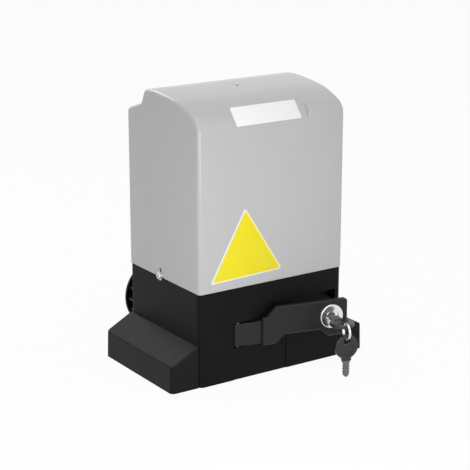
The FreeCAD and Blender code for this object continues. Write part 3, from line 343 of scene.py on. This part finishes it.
COVER_HALF_W, COVER_HALF_D, COVER_FOOT, COVER_TOP, COVER_SKIN = 97.9, 75.4, 108.4, 321.0, 3.0
COVER_EDGE = 4.6  # rounding between the side walls and the rest
COVER_LIP = 1.0  # rounding of the lower edge
FRONT_TOP = 288.4  # where the front wall starts to bend back
SHOULDER = ((-65.5, 304.7), (-24.0, 317.6), (15.0, 321.0), (34.0, 319.7))  # y, z where its arcs meet
STEP_HEADING, STEP_BEND, STEP_RUN = -64, 7.0, 13.6  # steep step behind the ridge
LEDGE_HEADING, LEDGE_BEND, BACK_BEND = -18.5, 3.5, 6.3  # ledge, and the corner into the back wall
RECESS_LEFT, RECESS_RIGHT, RECESS_FOOT_Y, RECESS_FOOT_Z, RECESS_TILT = -52.0, 45.6, -74.5, 289.6, 51.6
RECESS_LEAN = 0.12  # how far the recess's end walls lean outwards for each millimetre of depth
RECESS_BULGE, RECESS_LENGTH = 3.4, 27.0  # the right end wall is dished by the first over the second
RECESS_EASE = 0.7  # how softly the recess's rim runs into the skin
SLOT_Y, SLOT_TOP, SLOT_W = 6.0, 120.0, 4.6
MARK_X, MARK_Y, MARK_R = 2.0, -0.6, 2.4


class Outline:
    """Chain of edges in the y-z plane, grown from its last vertex by straight runs and by arcs.

    Arcs leave along the heading, so the chain stays smooth. Headings are degrees from +Y towards +Z.
    """

    def __init__(self, mesh, x, y, z, heading):
        self.mesh, self.tip, self.heading = mesh, mesh.verts.new(mm(x, y, z)), math.radians(heading)

    def ahead(self, turn=0.0):
        angle = self.heading + turn
        return Vector((0, math.cos(angle), math.sin(angle)))

    def run(self, length):
        grown = bmesh.ops.extrude_vert_indiv(self.mesh, verts=[self.tip])["verts"]
        bmesh.ops.translate(self.mesh, vec=self.ahead() * length, verts=grown)
        self.tip = grown[0]

    def sweep(self, radius, turn):
        """Arc of a radius through an angle in radians: positive turns to the left."""
        side = math.copysign(math.pi / 2, turn)
        centre = self.tip.co + self.ahead(side) * radius
        steps = max(3, math.ceil(abs(turn) * radius / mm(1.3)))
        swept = bmesh.ops.spin(
            self.mesh, geom=[self.tip], cent=centre, axis=(1, 0, 0), angle=turn, steps=steps,
            use_duplicate=False,
        )
        self.tip = next(g for g in swept["geom_last"] if isinstance(g, bmesh.types.BMVert))
        self.heading += turn

    def arc_to(self, y, z):
        way = mm(0, y, z) - Vector((0, self.tip.co.y, self.tip.co.z))
        turn = math.atan2(way.z, way.y) - self.heading
        self.sweep(way.length / 2 / math.sin(abs(turn)), 2 * turn)

    def turn_to(self, heading, radius):
        self.sweep(mm(radius), math.radians(heading) - self.heading)


def cover_block():
    """Solid block with the cover's outside: the side view carried across, its ends rounded."""
    mesh = bmesh.new()
    outline = Outline(mesh, -COVER_HALF_W, -COVER_HALF_D, COVER_FOOT, 90)
    outline.run(mm(FRONT_TOP - COVER_FOOT))
    # the shoulder rises from the front wall to the ridge
    for y, z in SHOULDER:
        outline.arc_to(y, z)
    # a steep step goes down to the ledge, which runs straight back and rounds into the back wall
    outline.turn_to(STEP_HEADING, STEP_BEND)
    outline.run(mm(STEP_RUN))
    outline.turn_to(LEDGE_HEADING, LEDGE_BEND)
    corner_turn = math.radians(90 + LEDGE_HEADING)
    reach = (mm(COVER_HALF_D) - outline.tip.co.y) / math.cos(outline.heading)
    outline.run(reach - mm(BACK_BEND) * math.tan(corner_turn / 2))
    outline.sweep(mm(BACK_BEND), -corner_turn)
    outline.run(outline.tip.co.z - mm(COVER_FOOT))
    side = bmesh.ops.contextual_create(mesh, geom=mesh.verts)["faces"]
    across = bmesh.ops.extrude_face_region(mesh, geom=side)["geom"]
    far = [g for g in across if isinstance(g, bmesh.types.BMVert)]
    bmesh.ops.translate(mesh, vec=mm(2 * COVER_HALF_W, 0, 0), verts=far)
    bmesh.ops.recalc_face_normals(mesh, faces=mesh.faces)
    foot = mm(COVER_FOOT) + 1e-6
    ends = [
        e for e in mesh.edges
        if abs(e.verts[0].co.x - e.verts[1].co.x) < 1e-6 and max(v.co.z for v in e.verts) > foot
    ]
    bmesh.ops.bevel(
        mesh, geom=ends, offset=mm(COVER_EDGE), offset_type="OFFSET", segments=6, profile=0.5,
        affect="EDGES", material=-1, clamp_overlap=False,
    )
    rim = [e for e in mesh.edges if max(v.co.z for v in e.verts) < foot]
    bmesh.ops.bevel(
        mesh, geom=rim, offset=mm(COVER_LIP), offset_type="OFFSET", segments=3, profile=0.5,
        affect="EDGES", material=-1, clamp_overlap=False,
    )
    bmesh.ops.delete(mesh, geom=[f for f in mesh.faces if f.calc_center_median().z < foot], context="FACES")
    return mesh


def softer_lower(a, b, ease):
    """The lower of two heights, with their crossing eased."""
    blend = max(ease - abs(a - b), 0) / ease
    return min(a, b) - blend * blend * ease / 4


def cut_across(mesh, point, normal):
    """Divide every face that a plane crosses."""
    everything = [*mesh.verts, *mesh.edges, *mesh.faces]
    bmesh.ops.bisect_plane(mesh, geom=everything, dist=1e-7, plane_co=point, plane_no=normal)


def press_recess(mesh):
    """Press the name plate's recess into the shoulder: a flat floor with leaning, dished end walls."""
    for z in (276, 282):  # keep the front wall flat below the recess
        cut_across(mesh, mm(0, 0, z), (0, 0, 1))
    dished_end = [44 + step * 0.4 for step in range(25)]
    for x in [*range(-60, 44), *dished_end, *range(54, 62)]:
        cut_across(mesh, mm(x, 0, 0), (1, 0, 0))
    tilt = math.radians(RECESS_TILT)
    up = Vector((0, -math.sin(tilt), math.cos(tilt)))
    along = Vector((0, math.cos(tilt), math.sin(tilt)))
    foot = mm(0, RECESS_FOOT_Y, RECESS_FOOT_Z)
    for vert in mesh.verts:
        height = (vert.co - foot).dot(up)
        if vert.co.z > mm(280) and vert.co.y < 0:
            middle = ((vert.co - foot).dot(along) - mm(RECESS_LENGTH / 2)) / mm(RECESS_LENGTH / 2)
            bulge = mm(RECESS_BULGE) * max(1 - middle * middle, 0)
            beyond = max(mm(RECESS_LEFT) - vert.co.x, vert.co.x - mm(RECESS_RIGHT) - bulge, 0)
            vert.co += up * (softer_lower(height, beyond / RECESS_LEAN, mm(RECESS_EASE)) - height)


def slot_cutter():
    """Bar through both side walls with the outline of the screw slots."""
    mesh = bmesh.new()
    bmesh.ops.create_cube(mesh, size=1)
    low, high = COVER_FOOT - 2, SLOT_TOP
    bmesh.ops.scale(mesh, vec=mm(2 * COVER_HALF_W + 10, SLOT_W, high - low), verts=mesh.verts)
    bmesh.ops.translate(mesh, vec=mm(0, SLOT_Y, (low + high) / 2), verts=mesh.verts)
    top = [
        e for e in mesh.edges
        if min(v.co.z for v in e.verts) > mm(high - 1) and abs(e.verts[0].co.x - e.verts[1].co.x) > mm(1)
    ]
    bmesh.ops.bevel(
        mesh, geom=top, offset=mm(SLOT_W / 2 - 0.05), offset_type="OFFSET", segments=6, profile=0.5,
        affect="EDGES", material=-1,
    )
    data = bpy.data.meshes.new("slot_cutter")
    mesh.to_mesh(data)
    mesh.free()
    cutter = bpy.data.objects.new("slot_cutter", data)
    bpy.context.scene.collection.objects.link(cutter)
    return cutter


def carve_slots(cover):
    """Give the skin its wall and cut the screw slots through it."""
    wall = cover.modifiers.new("wall", "SOLIDIFY")
    wall.thickness, wall.offset = mm(COVER_SKIN), -1
    cutter = slot_cutter()
    cut = cover.modifiers.new("slots", "BOOLEAN")
    cut.operation, cut.object, cut.solver = "DIFFERENCE", cutter, "EXACT"
    shell = bmesh.new()
    shell.from_object(cover, bpy.context.evaluated_depsgraph_get())
    cover.modifiers.clear()
    bpy.data.objects.remove(cutter)
    shell.to_mesh(cover.data)
    shell.free()
    cover.data.shade_smooth()
    cover.data.set_sharp_from_angle(angle=SHARP)


def moulded_cover():
    """The lift-off cover: a moulded shell with its recess and screw slots."""
    mesh = cover_block()
    press_recess(mesh)
    cover = finished(mesh, "moulded_cover", "cover", [FINISHES["cover_plastic"]])
    carve_slots(cover)
    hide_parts("cover")


def mould_mark():
    """Small glossy dome that the mould leaves on the top, coloured much lighter than the cover as a painted
    highlight.
    """
    mark = bmesh.new()
    bmesh.ops.create_uvsphere(mark, u_segments=24, v_segments=12, radius=mm(MARK_R))
    bmesh.ops.scale(mark, vec=(1, 1, 0.2), verts=mark.verts)
    bmesh.ops.translate(mark, vec=mm(MARK_X, MARK_Y, COVER_TOP - 0.45), verts=mark.verts)
    # the near-white colour is a painted highlight; the low roughness and the coat are the dome's real gloss
    gloss_and_painted_highlight = moulded("mark_gloss_and_painted_highlight", (0.85, 0.85, 0.85), 0.2, 0.5, 0.002, 0.5, 0.02, 0.6)
    finished(mark, "mould_mark", "cover", [gloss_and_painted_highlight])


# ---------------------------------------------------------------------------
# Plate and sticker on the cover, guide disc on the pinion
# ---------------------------------------------------------------------------

PLATE_W, PLATE_H, PLATE_T = 86.0, 23.4, 0.7
PLATE_INSET, PLATE_LIFT = 4.6, 0.8  # from the recess's left end, and up from its foot


def name_plate():
    """Blank white plate on the sloping floor of the cover's recess."""
    w, h = mm(PLATE_W), mm(PLATE_H)
    mesh = rounded_card([(0, 0), (w, 0), (w, h), (0, h)], mm(PLATE_T), mm(1.2), mm(0.2))
    place = Matrix.Translation(mm(RECESS_LEFT + PLATE_INSET, RECESS_FOOT_Y, RECESS_FOOT_Z))
    lift = Matrix.Translation(mm(0, PLATE_LIFT, 0.02))
    carried(mesh, place @ Matrix.Rotation(math.radians(RECESS_TILT), 4, "X") @ lift)
    white = printed_film("plate_white", (0.96, 0.96, 0.96), 0.3)
    return finished(mesh, "name_plate", "cover", [white])


STICKER_CORNERS = [(-83.5, 118.1), (12.5, 121.1), (-37.5, 199.4)]  # x, z on the front wall


def inset_corners(corners, distance):
    """Corners of a triangle whose sides stand a distance inside."""
    points = [Vector(c) for c in corners]
    sides = [(points[(i + 1) % 3] - points[i]) for i in range(3)]
    lengths = [s.length for s in sides]
    doubled_area = abs(sides[0].x * sides[1].y - sides[0].y * sides[1].x)
    inradius = doubled_area / sum(lengths)
    centre = sum((points[i] * lengths[(i + 1) % 3] for i in range(3)), Vector((0, 0))) / sum(lengths)
    return [centre + (p - centre) * (1 - distance / inradius) for p in points]


def triangle_sticker():
    """Blank triangular sticker: a white edge round a plain yellow field."""
    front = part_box("cover")[0].y
    layers = (
        ("sticker_edge", 0.0, 4.2, 0.12, 0.0, printed_film("sticker_white", (0.85, 0.85, 0.83))),
        ("sticker_field", 1.6, 3.2, 0.1, 0.1, printed_film("sticker_yellow", (0.87, 0.75, 0.006))),
    )
    for name, inset, radius, thickness, lift, material in layers:
        corners = [tuple(mm(*c)) for c in inset_corners(STICKER_CORNERS, inset)]
        mesh = rounded_card(corners, mm(thickness), mm(radius), mm(0.03))
        stand = Matrix.Rotation(math.radians(90), 4, "X")
        carried(mesh, Matrix.Translation((0, front - mm(lift), 0)) @ stand)
        finished(mesh, name, "cover", [material])


GUIDE_R, GUIDE_T, GUIDE_BORE = 42.5, 3.2, 16.0


def guide_disc():
    """Steel disc behind the pinion's teeth, which keeps the rack from wandering off them."""
    low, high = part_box("pinion")
    centre = (low + high) / 2
    back = high.y + mm(0.01)
    profile = ((GUIDE_BORE, 0), (GUIDE_R, 0), (GUIDE_R, GUIDE_T), (GUIDE_BORE, GUIDE_T))
    mesh = bmesh.new()
    corners = [mesh.verts.new((centre.x + mm(r), back - mm(t), centre.z)) for r, t in profile]
    mesh.faces.new(corners)
    outer = [v for v in mesh.verts if v.co.x > centre.x + mm(GUIDE_R - 0.1)]
    bmesh.ops.bevel(
        mesh, geom=outer, offset=mm(0.8), offset_type="OFFSET", segments=3, profile=0.5,
        affect="VERTICES", material=-1,
    )
    bmesh.ops.spin(
        mesh, geom=[*mesh.verts, *mesh.edges], cent=centre, axis=(0, 1, 0), angle=2 * math.pi, steps=96,
        use_merge=True, use_duplicate=False,
    )
    # the section that was spun stays inside the ring, and goes
    bmesh.ops.delete(mesh, geom=[f for f in mesh.faces if len(f.verts) > 4], context="FACES_ONLY")
    bmesh.ops.remove_doubles(mesh, verts=mesh.verts, dist=1e-7)
    finished(mesh, "guide_disc", "output", [FINISHES["gear_steel"]])


# ---------------------------------------------------------------------------
# Studio
# ---------------------------------------------------------------------------


VIEW_AZIMUTH, VIEW_ELEVATION, VIEW_DISTANCE = -33.81, 16.27, 1.740
VIEW_TARGET = mm(-0.42, 0, 143.9)
LENS, SENSOR = 115.2, 36.0
ROOM_LIGHT = 0.46  # how strongly the world lights the object
FLOOR_GLOW = 0.94  # share of plain white in the floor as it is seen
LAMPS = (  # name, azimuth, elevation, distance in metres, size in metres, power in watts
    ("front_box", -24, 5, 0.62, 0.3, 1.45),
    ("top_box", -25, 80, 2.0, 1.6, 12.5),
    ("edge_box", -174, 40, 1.3, 0.4, 2.8),
)


def background_rays(tree):
    """1 for rays that should see the plain background: from the camera, a gloss or a glass."""
    path = tree.nodes.new("ShaderNodeLightPath")
    seen = path.outputs["Is Camera Ray"]
    for name in ("Is Glossy Ray", "Is Transmission Ray"):
        larger = tree.nodes.new("ShaderNodeMath")
        larger.operation = "MAXIMUM"
        tree.links.new(seen, larger.inputs[0])
        tree.links.new(path.outputs[name], larger.inputs[1])
        seen = larger.outputs[0]
    return seen


def white_room(light):
    """World that is white to look at and lights the object evenly."""
    world = bpy.data.worlds.new("white_room")
    world.use_nodes = True
    bpy.context.scene.world = world
    tree = world.node_tree
    background = tree.nodes["Background"]
    background.inputs["Color"].default_value = (1, 1, 1, 1)
    strength = tree.nodes.new("ShaderNodeMapRange")
    strength.inputs["To Min"].default_value = light
    strength.inputs["To Max"].default_value = 1.0
    tree.links.new(background_rays(tree), strength.inputs["Value"])
    tree.links.new(strength.outputs["Result"], background.inputs["Strength"])


def floor():
    """Pale floor that looks white and keeps the motor's shadow."""
    mesh = bmesh.new()
    bmesh.ops.create_grid(mesh, x_segments=1, y_segments=1, size=6.0)
    data = bpy.data.meshes.new("floor")
    mesh.to_mesh(data)
    mesh.free()
    plane = bpy.data.objects.new("floor", data)
    bpy.context.scene.collection.objects.link(plane)
    plane.location.z = -mm(0.05)
    plane.data.materials.append(pale_floor())


def pale_floor():
    """Plain diffuse floor that shows white to the rays that see the background."""
    material = bpy.data.materials.new("pale_floor")
    material.use_nodes = True
    tree = material.node_tree
    diffuse = tree.nodes["Principled BSDF"]
    diffuse.inputs["Base Color"].default_value = (0.8, 0.8, 0.8, 1)
    diffuse.inputs["Roughness"].default_value = 0.9
    diffuse.inputs["Specular IOR Level"].default_value = 0.0
    glow = tree.nodes.new("ShaderNodeEmission")
    glow.inputs["Color"].default_value = (1, 1, 1, 1)
    mix = tree.nodes.new("ShaderNodeMixShader")
    share = tree.nodes.new("ShaderNodeMath")
    share.operation = "MULTIPLY"
    share.inputs[1].default_value = FLOOR_GLOW
    tree.links.new(background_rays(tree), share.inputs[0])
    tree.links.new(share.outputs[0], mix.inputs["Fac"])
    tree.links.new(diffuse.outputs[0], mix.inputs[1])
    tree.links.new(glow.outputs[0], mix.inputs[2])
    tree.links.new(mix.outputs[0], tree.nodes["Material Output"].inputs["Surface"])
    return material


def lamp(name, azimuth, elevation, distance, size, power):
    """Square softbox that looks at the middle of the motor."""
    target = mm(0, 0, 150)
    light = bpy.data.lights.new(name, "AREA")
    light.shape = "SQUARE"
    light.size = size
    light.energy = power
    holder = bpy.data.objects.new(name, light)
    bpy.context.scene.collection.objects.link(holder)
    holder.location = target + outward(azimuth, elevation) * distance
    holder.rotation_euler = (holder.location - target).to_track_quat("Z", "Y").to_euler()


def outward(azimuth, elevation):
    """Direction from the motor to a viewer; azimuth 0 stands in front, and a positive one to the right."""
    a, e = math.radians(azimuth), math.radians(elevation)
    return Vector((math.sin(a) * math.cos(e), -math.cos(a) * math.cos(e), math.sin(e)))


def camera():
    data = bpy.data.cameras.new("camera")
    data.lens, data.sensor_width = LENS, SENSOR
    data.clip_start, data.clip_end = 0.05, 30
    holder = bpy.data.objects.new("camera", data)
    bpy.context.scene.collection.objects.link(holder)
    holder.location = VIEW_TARGET + outward(VIEW_AZIMUTH, VIEW_ELEVATION) * VIEW_DISTANCE
    holder.rotation_euler = (holder.location - VIEW_TARGET).to_track_quat("Z", "Y").to_euler()
    bpy.context.scene.camera = holder


dress_nodes()
moulded_cover()
mould_mark()
name_plate()
triangle_sticker()
guide_disc()
white_room(ROOM_LIGHT)
floor()
for settings in LAMPS:
    lamp(*settings)
camera()
bpy.context.scene.view_settings.view_transform = "Standard"
